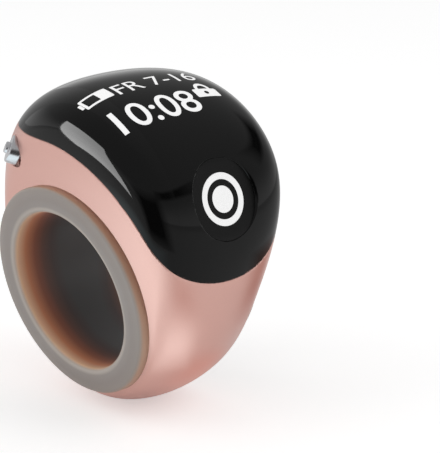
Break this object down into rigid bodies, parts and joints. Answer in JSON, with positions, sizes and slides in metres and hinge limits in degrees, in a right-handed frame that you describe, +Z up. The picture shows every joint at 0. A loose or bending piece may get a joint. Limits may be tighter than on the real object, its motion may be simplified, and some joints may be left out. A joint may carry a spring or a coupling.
{
  "type": "digital tasbih counter",
  "caption": "Finger-ring prayer counter: rose-gold ring body with a glossy domed display cover, round count key, small side key and a soft sleeve in the finger bore.",
  "frame": {"origin": "centre of the finger bore, in the ring's mid-plane", "axes": "+X along the finger, leaving the side with the display's upper left; +Z up through the display; -Y towards the front, where the count key is"},
  "size_m": [0.0226, 0.0303, 0.0361],
  "materials": {
    "shell_metal": "satin rose-gold anodised",
    "cover_gloss": "polished black, lets the display's light through",
    "key_gloss": "polished black",
    "side_key_metal": "satin silver",
    "sleeve_rubber": "translucent grey",
    "seal_rubber": "matt black",
    "carrier_plastic": "matt black",
    "board_laminate": "green solder mask",
    "chip_plastic": "matt black",
    "ceramic": "pale ceramic",
    "crystal_metal": "tinned steel can",
    "battery_foil": "laminated foil",
    "tape": "amber film",
    "lead_metal": "tinned",
    "screw_steel": "plain steel",
    "panel_glass": "dark display glass",
    "switch_steel": "stamped steel over black plastic",
    "plunger_plastic": "matt black",
    "motor_steel": "plated steel",
    "weight_steel": "sintered heavy metal"
  },
  "bodies": {
    "housing": {"ring_shell": "shell_metal", "top_cover": "cover_gloss", "cover_seal": "seal_rubber", "size_sleeve": "sleeve_rubber", "count_switch": "switch_steel", "count_switch_board": "board_laminate", "side_switch": "switch_steel", "carrier": "carrier_plastic", "battery": "battery_foil", "battery_tab": "tape", "battery_leads": "lead_metal", "main_board": "board_laminate", "processor_chip": "chip_plastic", "power_chip": "chip_plastic", "clock_crystal": "crystal_metal", "antenna": "ceramic", "capacitors": "ceramic", "board_screws": "screw_steel", "display_panel": "panel_glass", "display_frame": "carrier_plastic", "display_flex": "tape", "motor_case": "motor_steel"},
    "count_button": {"count_key": "key_gloss", "count_switch_plunger": "plunger_plastic"},
    "side_button": {"side_key": "side_key_metal", "side_key_clip": "screw_steel", "side_switch_plunger": "plunger_plastic"},
    "motor_rotor": {"motor_shaft": "screw_steel", "motor_weight": "weight_steel"}
  },
  "joints": [
    {"name": "count_press", "type": "slide", "parent": "housing", "child": "count_button", "axis": [0, 0.9336, -0.3584], "range_m": [0, 0.00035], "stiffness_N_per_m": 3000, "springref_m": -0.0001},
    {"name": "side_press", "type": "slide", "parent": "housing", "child": "side_button", "axis": [0.7428, -0.5516, -0.3795], "range_m": [0, 0.0003], "stiffness_N_per_m": 2500, "springref_m": -0.0001},
    {"name": "motor_spin", "type": "hinge", "parent": "housing", "child": "motor_rotor", "pos_m": [0, 0.00935, 0.01315], "axis": [1, 0, 0], "continuous": true}
  ]
}
